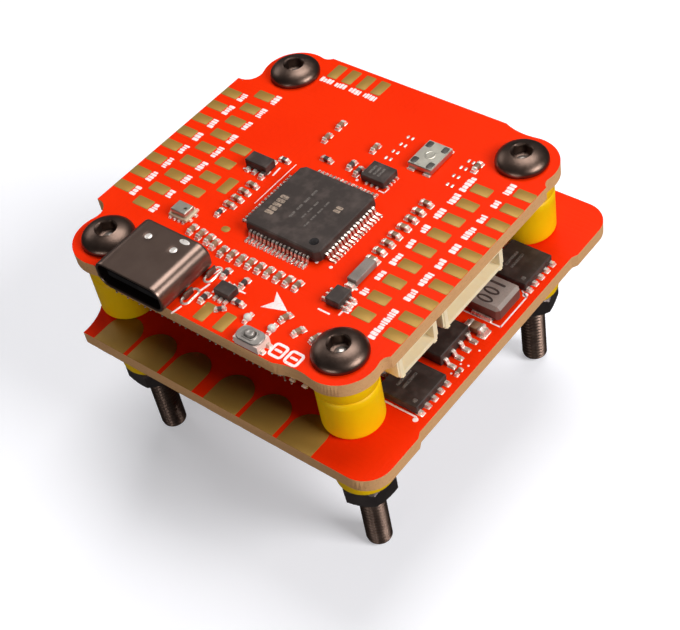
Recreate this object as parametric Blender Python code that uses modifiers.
"""Flight controller and four-in-one power board, stacked on four M3 screws with soft mounts.

The origin is on the surface that the screw tips stand on, at the centre of the screw pattern.
+Z is up, the USB socket faces -Y and the wire sockets face +X.
Sizes below are in millimetres, and MM turns them into metres.
"""

import math

import bmesh
import bpy
from mathutils import Matrix

MM = 0.001

# Screw pattern and fasteners
HOLE_PITCH = 30.5
HOLE_DIAMETER = 4.2
SCREW_DIAMETER = 2.9
SCREW_LENGTH = 30.0
HEAD_DIAMETER = 5.7
HEAD_HEIGHT = 1.65
HEAD_RIM = 0.25
HEAD_RIM_CHAMFER = (0.1, 0.2)
HEAD_DOME_TURNS = (24, 40, 56, 70, 82)
HEX_ACROSS = 2.0
HEX_DEPTH = 1.1
HEX_TURN = 15.0
TIP_CHAMFER = 0.55
TIP_SHOULDER = (0.18, 0.2)
NUT_ACROSS = 5.5
NUT_HEIGHT = 2.4
NUT_CHAMFER = 0.2
NUT_TURNS = {"left_front": 26.0, "right_front": 52.0, "right_back": 14.0, "left_back": 30.0}

# Soft mounts
MOUNT_HEIGHT = 7.45
MOUNT_DIAMETER = 6.4
MOUNT_COLLAR = 2.0
MOUNT_GROOVE = 0.22
MOUNT_EDGE = 0.25
SPIGOT_LENGTH = 1.2

# Boards
BOARD_THICKNESS = 1.6
BOARD_RED = (0.9, 0.03, 0.01)
FLIGHT_LOBE_RADIUS = 3.9
FLIGHT_MARGIN_LEFT = 5.45
FLIGHT_MARGIN = 4.25
POWER_MARGIN_X = 7.05
POWER_MARGIN_Y = 6.25
POWER_CORNER_RADIUS = 3.0
POWER_EAR_RADIUS = 3.25
POWER_STEP = 0.35
POWER_STEP_AT = 1.0

# Shoulders between a straight edge and a lobe: how far short of the lobe's middle the edge ends,
# and the radius of the bite. Then the points on each kind of arc.
WIDE_SHOULDER = (3.7, 1.7)
SOFT_SHOULDER = (4.8, 7.0)
NOTCH_SHOULDER = (2.1, 1.1)
EAR_FRONT_SHOULDER = (-1.15, 6.3)
EAR_SIDE_SHOULDER = (3.8, 4.0)
SHOULDER_POINTS = 9
LOBE_POINTS = 24
CORNER_POINTS = 12
HOLE_POINTS = 40
ROUND_POINTS = 28
TURNED_STEPS = 24

# Fits
SEAT_GAP = 0.05
BORE_CLEARANCE = 0.1
SPIGOT_CLEARANCE = 0.1
SLOT_CLEARANCE = 0.1
INSERT_CLEARANCE = 0.05
SLIDE_CLEARANCE = 0.04

# USB socket
USB_X = -6.95
USB_WIDTH = 8.94
USB_HEIGHT = 3.2
USB_DEPTH = 7.35
USB_CORNER = 1.28
USB_CORNER_POINTS = 7
USB_WALL = 0.3
USB_OVERHANG = 0.9
USB_LEG_THICKNESS = 0.3
USB_LEG_WIDTH = 1.1
USB_LEG_DEPTH = 0.9
USB_LEG_INSETS = (3.3, 6.7)
TONGUE_WIDTH = 6.7
TONGUE_THICKNESS = 0.7
TONGUE_REACH = 5.0
TONGUE_BLOCK = 1.5

# Boot button
BUTTON_X = 7.2
BUTTON_INSET = 0.05
BUTTON_SIZE = (3.0, 1.8)
BUTTON_BASE_HEIGHT = 0.9
BUTTON_FLOOR = 0.22
BUTTON_WELL_DIAMETER = 1.5
BUTTON_COVER_THICKNESS = 0.15
BUTTON_STEM_DIAMETER = 0.95
BUTTON_STEM_PROUD = 0.38
BUTTON_STEM_CHAMFER = 0.1
BUTTON_FLANGE_THICKNESS = 0.16
BUTTON_FLANGE_LAP = 0.18
DOME_HEIGHT = 0.12
DOME_THICKNESS = 0.06
DOME_SHARES = (0.0, 0.35, 0.7, 1.0)

# Wire sockets under the flight board's right edge, in order from the front mount, and their ways
WIRE_SOCKETS = {"wire_socket_4way": 4, "wire_socket_8way": 8}
SOCKET_SPACING = 1.3
SOCKET_MOUNT_GAP = 0.1
SOCKET_PITCH = 1.0
SOCKET_END = 3.0
SOCKET_DEPTH_X = 4.25
SOCKET_HEIGHT = 2.95
SOCKET_WALL = 0.55
SOCKET_BACK = 1.1
SOCKET_SETBACK = 0.3

# Chips: middle x and y, and size in x, y and z
CHIP_BEVEL = 0.08
EPOXY_BLACK = (0.035, 0.03, 0.028)
FLIGHT_TOP_CHIPS = {
    "motion_sensor": (3.8, 5.9, 3.0, 2.5, 0.86),
    "barometer_base": (-10.8, -8.6, 2.5, 2.0, 0.35),
    "signal_diode": (10.8, -6.1, 1.2, 3.3, 0.75),
    "regulator_chip": (-8.4, 1.1, 2.9, 1.6, 1.05),
    "usb_protection_chip": (0.85, -15.0, 2.0, 1.5, 0.9),
    "level_shift_chip": (10.95, -10.0, 1.7, 2.1, 0.9),
    "clock_oscillator": (6.85, 10.75, 3.0, 4.0, 0.7),
}
FLIGHT_UNDER_CHIPS = {
    "video_overlay_chip": (-5.5, -2.0, 9.7, 4.4, 1.0),
    "memory_chip": (6.5, -7.0, 6.0, 5.0, 0.8),
    "step_down_chip": (5.0, 6.5, 3.0, 3.0, 0.9),
    "step_down_inductor": (10.5, 6.5, 4.0, 4.0, 1.9),
}
POWER_TOP_CHIPS = {
    "gate_driver_chip": (17.05, -3.3, 3.9, 4.9, 1.4),
    "current_shunt": (-16.0, 0.0, 3.2, 6.3, 0.8),
}
MICROCONTROLLER = (1.4, -2.4, 10.0, 10.0, 1.4)
MICROCONTROLLER_BEVEL = 0.16
PIN_ONE_DIAMETER = 1.0
PIN_ONE_INSET = 1.4
PIN_ONE_DEPTH = 0.1
BAROMETER_LID = (2.0, 1.5, 0.55)
BAROMETER_PORT_DIAMETER = 0.35
BAROMETER_PORT_POINTS = 16

# Power board parts
SHIELDED_INDUCTOR = (18.6, 4.0, 4.2, 4.2, 1.9)
INDUCTOR_BEVEL = 0.35
MOSFET_SIZE = (4.9, 5.0, 1.0)
MOSFET_PITCH = 6.0
MOSFET_MOUNT_GAP = 0.05
MOSFET_END_INSET = 4.2
MOSFETS_PER_ROW = 6
CONTROLLER_SIZE = (5.0, 5.0, 0.85)
CONTROLLER_PITCH = 7.0
CONTROLLER_COUNT = 4

# Heights worked out from the screw tips upwards
FLIGHT_TOP = SCREW_LENGTH - SEAT_GAP
FLIGHT_BOTTOM = FLIGHT_TOP - BOARD_THICKNESS
UPPER_MOUNT_TOP = FLIGHT_BOTTOM - SEAT_GAP
POWER_TOP = UPPER_MOUNT_TOP - MOUNT_HEIGHT - SEAT_GAP
POWER_BOTTOM = POWER_TOP - BOARD_THICKNESS
LOWER_MOUNT_TOP = POWER_BOTTOM - SEAT_GAP
NUT_TOP = LOWER_MOUNT_TOP - MOUNT_HEIGHT - SEAT_GAP

HALF_PITCH = HOLE_PITCH / 2
CORNERS = {
    "left_front": (-HALF_PITCH, -HALF_PITCH),
    "right_front": (HALF_PITCH, -HALF_PITCH),
    "right_back": (HALF_PITCH, HALF_PITCH),
    "left_back": (-HALF_PITCH, HALF_PITCH),
}
FLIGHT_RIGHT = HALF_PITCH + FLIGHT_MARGIN
FLIGHT_FRONT = -HALF_PITCH - FLIGHT_MARGIN
POWER_RIGHT = HALF_PITCH + POWER_MARGIN_X
POWER_BACK = HALF_PITCH + POWER_MARGIN_Y
BORE_RADIUS = SCREW_DIAMETER / 2 + BORE_CLEARANCE


def clear_scene():
    for thing in list(bpy.data.objects):
        bpy.data.objects.remove(thing, do_unlink=True)


def new_collection(name):
    collection = bpy.data.collections.new(name)
    bpy.context.scene.collection.children.link(collection)
    return collection


def finish_material(name, color, roughness, metallic=0.0):
    material = bpy.data.materials.new(name)
    material.use_nodes = True
    shader = material.node_tree.nodes["Principled BSDF"]
    shader.inputs["Base Color"].default_value = (*color, 1.0)
    shader.inputs["Roughness"].default_value = roughness
    shader.inputs["Metallic"].default_value = metallic
    return material


def add_object(name, mesh, location=(0, 0, 0), color=None, roughness=0.5, metallic=0.0):
    """A new object for a part, or for a cutter when it has no colour, at a place in millimetres."""
    thing = bpy.data.objects.new(name, mesh)
    thing.location = [value * MM for value in location]
    if color is None:
        cutters.objects.link(thing)
        thing.hide_render = True
        thing.display_type = "WIRE"
    else:
        parts.objects.link(thing)
        mesh.materials.append(finish_material(name, color, roughness, metallic))
    return thing


def box_mesh(name, size):
    """A box of a size in millimetres, centred on its own origin."""
    mesh = bpy.data.meshes.new(name)
    work = bmesh.new()
    bmesh.ops.create_cube(work, size=1.0, matrix=Matrix.Diagonal([value * MM for value in size] + [1.0]))
    work.to_mesh(mesh)
    work.free()
    return mesh


def cylinder_mesh(name, radius, depth, sides):
    mesh = bpy.data.meshes.new(name)
    work = bmesh.new()
    bmesh.ops.create_cone(
        work, cap_ends=True, segments=sides, radius1=radius * MM, radius2=radius * MM, depth=depth * MM
    )
    work.to_mesh(mesh)
    work.free()
    return mesh


def plate_mesh(name, loops, thickness):
    """A flat plate from closed outlines in millimetres: the first is its edge, the others are holes."""
    curve = bpy.data.curves.new(name, "CURVE")
    curve.dimensions = "2D"
    curve.fill_mode = "BOTH"
    curve.extrude = thickness * MM / 2
    for loop in loops:
        spline = curve.splines.new("POLY")
        spline.points.add(len(loop) - 1)
        for point, (x, y) in zip(spline.points, loop):
            point.co = (x * MM, y * MM, 0, 1)
        spline.use_cyclic_u = True
    holder = bpy.data.objects.new(name, curve)
    bpy.context.scene.collection.objects.link(holder)
    evaluated = holder.evaluated_get(bpy.context.evaluated_depsgraph_get())
    mesh = bpy.data.meshes.new_from_object(evaluated)
    bpy.data.objects.remove(holder, do_unlink=True)
    work = bmesh.new()
    work.from_mesh(mesh)
    bmesh.ops.remove_doubles(work, verts=work.verts, dist=0.001 * MM)
    bmesh.ops.recalc_face_normals(work, faces=work.faces)
    work.to_mesh(mesh)
    work.free()
    mesh.name = name
    return mesh


def turned_part(name, profile, location, closed, steps, color, roughness, metallic=0.0):
    """A profile of radius and height pairs, run down its outer side, turned about the Z axis."""
    mesh = bpy.data.meshes.new(name)
    count = len(profile)
    edges = [(i, i + 1) for i in range(count - 1)]
    if closed:
        edges.append((count - 1, 0))
    mesh.from_pydata([(radius * MM, 0, height * MM) for radius, height in profile], edges, [])
    thing = add_object(name, mesh, location, color, roughness, metallic)
    turning = thing.modifiers.new("turn", "SCREW")
    turning.steps = turning.render_steps = steps
    turning.use_merge_vertices = True
    turning.merge_threshold = 0.001 * MM
    turning.use_smooth_shade = True
    return thing


def cut(target, cutter, operation="DIFFERENCE"):
    modifier = target.modifiers.new(operation.lower(), "BOOLEAN")
    modifier.operation = operation
    modifier.object = cutter
    modifier.solver = "EXACT"


def round_edges(target, width, segments=1, angle=30.0):
    modifier = target.modifiers.new("edges", "BEVEL")
    modifier.width = width * MM
    modifier.segments = segments
    modifier.limit_method = "ANGLE"
    modifier.angle_limit = math.radians(angle)


def arc(x, y, radius, start, end, count):
    """Points of an arc about x, y from one angle to another, in degrees, ends included."""
    turns = [math.radians(start + (end - start) * i / (count - 1)) for i in range(count)]
    return [(x + radius * math.cos(turn), y + radius * math.sin(turn)) for turn in turns]


def circle(x, y, radius, count):
    return arc(x, y, radius, 0.0, 360.0 * (count - 1) / count, count)


def shoulder(margin, length, radius, bite):
    """A concave arc from the end of a straight edge to a round lobe about the origin.

    The edge runs along +Y at x = margin and ends a length short of the lobe's middle. The arc's circle
    passes through that end and touches the lobe from outside, so the outline has no kink there.
    """
    end = complex(margin, -length)
    reach = radius + bite
    along = (abs(end) ** 2 + reach**2 - bite**2) / (2 * abs(end))
    across = math.sqrt(max(reach**2 - along**2, 0.0))
    middle = end / abs(end) * complex(along, across)
    start = math.atan2((end - middle).imag, (end - middle).real)
    stop = math.atan2(-middle.imag, -middle.real)
    while stop > start:
        stop -= 2 * math.pi
    step = (stop - start) / (SHOULDER_POINTS - 1)
    turns = [start + step * i for i in range(SHOULDER_POINTS)]
    return [middle + bite * complex(math.cos(turn), math.sin(turn)) for turn in turns]


def lobe_corner(x, y, facing, radius, before, after):
    """The outline round one screw hole, anticlockwise: shoulder, lobe and shoulder.

    facing is the outward direction, in degrees, of the edge before the corner, and before and after
    hold each edge's margin from the hole, the length of its shoulder and the radius of its bite.
    """
    first = shoulder(before[0], before[1], radius, before[2])
    last = [complex(p.imag, p.real) for p in shoulder(after[0], after[1], radius, after[2])][::-1]
    start = math.degrees(math.atan2(first[-1].imag, first[-1].real))
    end = math.degrees(math.atan2(last[0].imag, last[0].real))
    lobe = [complex(px, py) for px, py in arc(0, 0, radius, start, end, LOBE_POINTS)[1:-1]]
    turn = complex(math.cos(math.radians(facing)), math.sin(math.radians(facing)))
    return [(x + (p * turn).real, y + (p * turn).imag) for p in first + lobe + last]


def screw_holes():
    return [circle(x, y, HOLE_DIAMETER / 2, HOLE_POINTS) for x, y in CORNERS.values()]


def usb_leg_places():
    """Middle x and y of the four legs of the USB shell."""
    front = FLIGHT_FRONT - USB_OVERHANG
    side = USB_WIDTH / 2 - USB_LEG_THICKNESS / 2
    return [(USB_X + sign * side, front + inset) for sign in (-1, 1) for inset in USB_LEG_INSETS]


def make_flight_board():
    """Red two-sided circuit board. Its straight edges stand proud of the lobes round the screws."""
    wide = (FLIGHT_MARGIN_LEFT, *WIDE_SHOULDER)
    soft = (FLIGHT_MARGIN, *SOFT_SHOULDER)
    notch = (FLIGHT_MARGIN, *NOTCH_SHOULDER)
    outline = []
    for corner, facing, before, after in (
        ("right_front", -90.0, soft, notch),
        ("right_back", 0.0, notch, soft),
        ("left_back", 90.0, notch, wide),
        ("left_front", 180.0, wide, soft),
    ):
        outline += lobe_corner(*CORNERS[corner], facing, FLIGHT_LOBE_RADIUS, before, after)
    slots = []
    for x, y in usb_leg_places():
        half_x = USB_LEG_THICKNESS / 2 + SLOT_CLEARANCE
        half_y = USB_LEG_WIDTH / 2 + SLOT_CLEARANCE
        low_x, high_x = x - half_x, x + half_x
        low_y, high_y = y - half_y, y + half_y
        slots.append([(low_x, low_y), (high_x, low_y), (high_x, high_y), (low_x, high_y)])
    mesh = plate_mesh("flight_board", [outline] + screw_holes() + slots, BOARD_THICKNESS)
    add_object("flight_board", mesh, (0, 0, FLIGHT_TOP - BOARD_THICKNESS / 2), BOARD_RED, 0.35)


def make_power_board():
    """Larger red board with full corners on the right and narrow ears on the battery side."""
    outline = []
    ear_front = (POWER_MARGIN_Y, *EAR_FRONT_SHOULDER)
    ear_side = (POWER_MARGIN_X, *EAR_SIDE_SHOULDER)
    middle_x = POWER_RIGHT - POWER_CORNER_RADIUS
    middle_y = POWER_BACK - POWER_CORNER_RADIUS
    step_y = HALF_PITCH - POWER_STEP_AT
    outline += arc(middle_x, -middle_y, POWER_CORNER_RADIUS, -90, 0, CORNER_POINTS)
    outline += [
        (POWER_RIGHT, -step_y),
        (POWER_RIGHT - POWER_STEP, -step_y + 2 * POWER_STEP),
        (POWER_RIGHT - POWER_STEP, step_y - 2 * POWER_STEP),
        (POWER_RIGHT, step_y),
    ]
    outline += arc(middle_x, middle_y, POWER_CORNER_RADIUS, 0, 90, CORNER_POINTS)
    outline += lobe_corner(*CORNERS["left_back"], 90.0, POWER_EAR_RADIUS, ear_front, ear_side)
    outline += lobe_corner(*CORNERS["left_front"], 180.0, POWER_EAR_RADIUS, ear_side, ear_front)
    mesh = plate_mesh("power_board", [outline] + screw_holes(), BOARD_THICKNESS)
    add_object("power_board", mesh, (0, 0, POWER_TOP - BOARD_THICKNESS / 2), BOARD_RED, 0.35)


def make_screw(corner):
    """Black button-head M3 screw with a hex socket; the shaft stands on its chamfered tip."""
    radius = SCREW_DIAMETER / 2
    head = HEAD_DIAMETER / 2
    dome = []
    for degrees in HEAD_DOME_TURNS:
        turn = math.radians(degrees)
        rise = HEAD_RIM + (HEAD_HEIGHT - HEAD_RIM) * math.cos(turn)
        dome.append((head * math.sin(turn), SCREW_LENGTH + rise))
    flat = dome[0][1]
    rim_x, rim_z = HEAD_RIM_CHAMFER
    tip_x, tip_z = TIP_SHOULDER
    profile = [(0, flat)] + dome + [(head, SCREW_LENGTH + rim_z), (head - rim_x, SCREW_LENGTH)]
    profile += [(radius, SCREW_LENGTH), (radius, TIP_CHAMFER), (radius - tip_x, tip_z)]
    profile += [(radius - TIP_CHAMFER, 0), (0, 0)]
    x, y = CORNERS[corner]
    steel = (0.03, 0.025, 0.022)
    screw = turned_part("screw_" + corner, profile, (x, y, 0), False, ROUND_POINTS, steel, 0.35, 0.85)
    deep = 2 * HEX_DEPTH
    mesh = cylinder_mesh("hex_" + corner, HEX_ACROSS / math.sqrt(3), deep, sides=6)
    recess = add_object("hex_" + corner, mesh, (x, y, flat - HEX_DEPTH + deep / 2))
    recess.rotation_euler.z = math.radians(HEX_TURN)
    cut(screw, recess)


def make_nut(corner):
    """Black hex nut; its bore clears the screw's thread."""
    x, y = CORNERS[corner]
    mesh = cylinder_mesh("nut_" + corner, NUT_ACROSS / math.sqrt(3), NUT_HEIGHT, sides=6)
    place = (x, y, NUT_TOP - NUT_HEIGHT / 2)
    nut = add_object("nut_" + corner, mesh, place, (0.035, 0.03, 0.027), 0.4, 0.8)
    nut.rotation_euler.z = math.radians(NUT_TURNS[corner])
    round_edges(nut, NUT_CHAMFER, angle=75.0)
    bore = cylinder_mesh("nut_bore_" + corner, BORE_RADIUS, 2 * NUT_HEIGHT, ROUND_POINTS)
    cut(nut, add_object("nut_bore_" + corner, bore, place))


def make_soft_mount(name, corner, top):
    """Yellow silicone spacer: a spigot in the board's hole, a collar, a groove and a body."""
    radius = MOUNT_DIAMETER / 2
    spigot = HOLE_DIAMETER / 2 - SPIGOT_CLEARANCE
    groove = MOUNT_COLLAR + MOUNT_GROOVE
    profile = [
        (spigot, SPIGOT_LENGTH),
        (spigot, 0),
        (radius - MOUNT_EDGE, 0),
        (radius, -MOUNT_EDGE),
        (radius, -MOUNT_COLLAR),
        (radius - MOUNT_GROOVE, -groove),
        (radius, -groove - MOUNT_GROOVE),
        (radius, -MOUNT_HEIGHT + MOUNT_EDGE),
        (radius - MOUNT_EDGE, -MOUNT_HEIGHT),
        (BORE_RADIUS, -MOUNT_HEIGHT),
        (BORE_RADIUS, SPIGOT_LENGTH),
    ]
    place = (*CORNERS[corner], top)
    turned_part(f"{name}_{corner}", profile, place, True, TURNED_STEPS, (0.85, 0.5, 0.01), 0.5)


def rounded_block(name, width, height, depth, corner):
    """A block along Y with a rounded cross-section in X and Z, centred on its own origin."""
    x, y = width / 2 - corner, height / 2 - corner
    outline = []
    for turn, sign_x, sign_y in ((0, 1, 1), (90, -1, 1), (180, -1, -1), (270, 1, -1)):
        outline += arc(sign_x * x, sign_y * y, corner, turn, turn + 90, USB_CORNER_POINTS)
    mesh = plate_mesh(name, [outline], depth)
    mesh.transform(Matrix.Rotation(math.radians(90), 4, "X"))
    return mesh


def make_usb_socket():
    """Drawn steel shell with four legs in the board's slots, round a plastic tongue."""
    front = FLIGHT_FRONT - USB_OVERHANG
    low = FLIGHT_TOP + SEAT_GAP
    middle = (USB_X, front + USB_DEPTH / 2, low + USB_HEIGHT / 2)
    block = rounded_block("usb_shell", USB_WIDTH, USB_HEIGHT, USB_DEPTH, USB_CORNER)
    shell = add_object("usb_shell", block, middle, (0.12, 0.1, 0.09), 0.35, 0.9)
    inner = (USB_WIDTH - 2 * USB_WALL, USB_HEIGHT - 2 * USB_WALL)
    pocket_mesh = rounded_block("usb_pocket", *inner, USB_DEPTH, USB_CORNER - USB_WALL)
    pocket = add_object("usb_pocket", pocket_mesh, (middle[0], middle[1] - USB_WALL, middle[2]))
    for number, (x, y) in enumerate(usb_leg_places()):
        leg_top = low + USB_HEIGHT / 2
        length = leg_top - FLIGHT_TOP + USB_LEG_DEPTH
        mesh = box_mesh("usb_leg", (USB_LEG_THICKNESS, USB_LEG_WIDTH, length))
        leg = add_object(f"usb_leg_{number}", mesh, (x, y, leg_top - length / 2))
        cut(shell, leg, "UNION")
    cut(shell, pocket)
    back = front + USB_DEPTH - USB_WALL - INSERT_CLEARANCE
    block_size = [size - 2 * INSERT_CLEARANCE for size in inner]
    block_corner = USB_CORNER - USB_WALL - INSERT_CLEARANCE
    block_mesh = rounded_block("usb_tongue", *block_size, TONGUE_BLOCK, block_corner)
    tongue = add_object(
        "usb_tongue", block_mesh, (USB_X, back - TONGUE_BLOCK / 2, middle[2]), (0.03, 0.03, 0.03), 0.5
    )
    reach = TONGUE_REACH + TONGUE_BLOCK / 2
    blade_mesh = box_mesh("usb_blade", (TONGUE_WIDTH, reach, TONGUE_THICKNESS))
    blade = add_object("usb_blade", blade_mesh, (USB_X, back - TONGUE_BLOCK / 2 - reach / 2, middle[2]))
    cut(tongue, blade, "UNION")


def make_boot_button():
    """Small press switch: base with a well, snap dome, flanged plunger and pressed cover."""
    y = FLIGHT_FRONT + BUTTON_INSET + BUTTON_SIZE[1] / 2
    low = FLIGHT_TOP + SEAT_GAP
    base_mesh = box_mesh("boot_button_base", (*BUTTON_SIZE, BUTTON_BASE_HEIGHT))
    base_middle = low + BUTTON_BASE_HEIGHT / 2
    base = add_object("boot_button_base", base_mesh, (BUTTON_X, y, base_middle), (0.75, 0.7, 0.62), 0.5)
    well = cylinder_mesh("button_well", BUTTON_WELL_DIAMETER / 2, BUTTON_BASE_HEIGHT, ROUND_POINTS)
    cut(base, add_object("button_well", well, (BUTTON_X, y, base_middle + BUTTON_FLOOR)))

    dome_radius = BUTTON_WELL_DIAMETER / 2 - INSERT_CLEARANCE
    rim = BUTTON_FLOOR + INSERT_CLEARANCE
    fall = [(share, rim + DOME_HEIGHT * (1 - share**2)) for share in DOME_SHARES]
    upper = [(dome_radius * share, height + DOME_THICKNESS) for share, height in fall]
    lower = [(dome_radius * share, height) for share, height in reversed(fall)]
    spring = (0.7, 0.68, 0.62)
    place = (BUTTON_X, y, low)
    turned_part("boot_button_dome", upper + lower, place, False, TURNED_STEPS, spring, 0.3, 1.0)

    cover_low = low + BUTTON_BASE_HEIGHT + INSERT_CLEARANCE
    hole = BUTTON_STEM_DIAMETER / 2 + SLIDE_CLEARANCE
    half_x, half_y = BUTTON_SIZE[0] / 2, BUTTON_SIZE[1] / 2
    sheet = [(-half_x, -half_y), (half_x, -half_y), (half_x, half_y), (-half_x, half_y)]
    loops = [sheet, circle(0, 0, hole, ROUND_POINTS)]
    cover_mesh = plate_mesh("boot_button_cover", loops, BUTTON_COVER_THICKNESS)
    add_object(
        "boot_button_cover", cover_mesh, (BUTTON_X, y, cover_low + BUTTON_COVER_THICKNESS / 2),
        (0.45, 0.42, 0.38), 0.35, 0.9,
    )

    flange_top = cover_low - SLIDE_CLEARANCE
    stem_top = cover_low + BUTTON_COVER_THICKNESS + BUTTON_STEM_PROUD - flange_top
    stem = BUTTON_STEM_DIAMETER / 2
    profile = [
        (0, stem_top),
        (stem - BUTTON_STEM_CHAMFER, stem_top),
        (stem, stem_top - BUTTON_STEM_CHAMFER),
        (stem, 0),
        (stem + BUTTON_FLANGE_LAP, 0),
        (stem + BUTTON_FLANGE_LAP, -BUTTON_FLANGE_THICKNESS),
        (0, -BUTTON_FLANGE_THICKNESS),
    ]
    place = (BUTTON_X, y, flange_top)
    turned_part(
        "boot_button_plunger", profile, place, False, TURNED_STEPS, (0.3, 0.28, 0.26), 0.4, 0.6
    )


def make_wire_socket(name, y, width):
    """Ivory moulded housing, upside down under the board, with its mouth towards +X."""
    face = FLIGHT_RIGHT - SOCKET_SETBACK
    x = face - SOCKET_DEPTH_X / 2
    z = FLIGHT_BOTTOM - SEAT_GAP - SOCKET_HEIGHT / 2
    mesh = box_mesh(name, (SOCKET_DEPTH_X, width, SOCKET_HEIGHT))
    housing = add_object(name, mesh, (x, y, z), (0.85, 0.76, 0.55), 0.45)
    round_edges(housing, CHIP_BEVEL)
    depth = 2 * (SOCKET_DEPTH_X - SOCKET_BACK)
    mouth = box_mesh("mouth_" + name, (depth, width - 2 * SOCKET_WALL, SOCKET_HEIGHT - 2 * SOCKET_WALL))
    cut(housing, add_object("mouth_" + name, mouth, (face, y, z)))


def make_wire_sockets():
    """The sockets stand in a row that starts beside the front right soft mount."""
    start = CORNERS["right_front"][1] + MOUNT_DIAMETER / 2 + SOCKET_MOUNT_GAP
    for name, ways in WIRE_SOCKETS.items():
        width = SOCKET_PITCH * (ways - 1) + SOCKET_END
        make_wire_socket(name, start + width / 2, width)
        start += width + SOCKET_SPACING


def make_chip(
    name, x, y, size, seat, up, color=EPOXY_BLACK, roughness=0.45, metallic=0.0, bevel=CHIP_BEVEL
):
    """A moulded package on a board face at height seat, standing up from it or hanging under it."""
    mesh = box_mesh(name, size)
    z = seat + up * (SEAT_GAP + size[2] / 2)
    chip = add_object(name, mesh, (x, y, z), color, roughness, metallic)
    round_edges(chip, bevel)
    return chip


def make_flight_parts():
    """Packages soldered to both faces of the flight board."""
    x, y, *size = MICROCONTROLLER
    chip = make_chip("microcontroller", x, y, size, FLIGHT_TOP, 1, bevel=MICROCONTROLLER_BEVEL)
    dimple = cylinder_mesh("pin_one", PIN_ONE_DIAMETER / 2, 2 * PIN_ONE_DEPTH, TURNED_STEPS)
    corner_x = x + size[0] / 2 - PIN_ONE_INSET
    corner_y = y - size[1] / 2 + PIN_ONE_INSET
    cut(chip, add_object("pin_one", dimple, (corner_x, corner_y, FLIGHT_TOP + SEAT_GAP + size[2])))

    for name, (x, y, *size) in FLIGHT_TOP_CHIPS.items():
        tin = name == "clock_oscillator"
        color = (0.6, 0.57, 0.5) if tin else EPOXY_BLACK
        make_chip(name, x, y, size, FLIGHT_TOP, 1, color, 0.35, 0.8 if tin else 0.0)

    x, y, *size = FLIGHT_TOP_CHIPS["barometer_base"]
    lid_seat = FLIGHT_TOP + SEAT_GAP + size[2]
    lid = make_chip("barometer_lid", x, y, BAROMETER_LID, lid_seat, 1, (0.6, 0.6, 0.57), 0.3, 1.0)
    port_radius = BAROMETER_PORT_DIAMETER / 2
    port = cylinder_mesh("barometer_port", port_radius, BAROMETER_LID[2], BAROMETER_PORT_POINTS)
    lid_top = lid_seat + SEAT_GAP + BAROMETER_LID[2]
    cut(lid, add_object("barometer_port", port, (x + BAROMETER_LID[0] / 4, y, lid_top)))

    for name, (x, y, *size) in FLIGHT_UNDER_CHIPS.items():
        make_chip(name, x, y, size, FLIGHT_BOTTOM, -1)


def make_power_parts():
    """Packages on the power board: two rows of transistors and the motor controllers between them."""
    for name, (x, y, *size) in POWER_TOP_CHIPS.items():
        make_chip(name, x, y, size, POWER_TOP, 1)
    x, y, *size = SHIELDED_INDUCTOR
    make_chip("shielded_inductor", x, y, size, POWER_TOP, 1, (0.22, 0.18, 0.15), 0.6, bevel=INDUCTOR_BEVEL)

    row_y = HALF_PITCH - MOUNT_DIAMETER / 2 - MOSFET_MOUNT_GAP - MOSFET_SIZE[1] / 2
    for row, y in (("front", -row_y), ("back", row_y)):
        for number in range(MOSFETS_PER_ROW):
            x = POWER_RIGHT - MOSFET_END_INSET - MOSFET_PITCH * number
            make_chip(f"mosfet_{row}_{number + 1}", x, y, MOSFET_SIZE, POWER_TOP, 1)

    for number in range(CONTROLLER_COUNT):
        x = CONTROLLER_PITCH * (number - (CONTROLLER_COUNT - 1) / 2)
        make_chip(f"motor_controller_{number + 1}", x, 0, CONTROLLER_SIZE, POWER_TOP, 1)


clear_scene()
parts = new_collection("flight_stack")
cutters = new_collection("flight_stack_cutters")

make_flight_board()
make_flight_parts()
make_usb_socket()
make_boot_button()
make_wire_sockets()

make_power_board()
make_power_parts()

for corner_name in CORNERS:
    make_screw(corner_name)
    make_nut(corner_name)
    make_soft_mount("upper_mount", corner_name, UPPER_MOUNT_TOP)
    make_soft_mount("lower_mount", corner_name, LOWER_MOUNT_TOP)
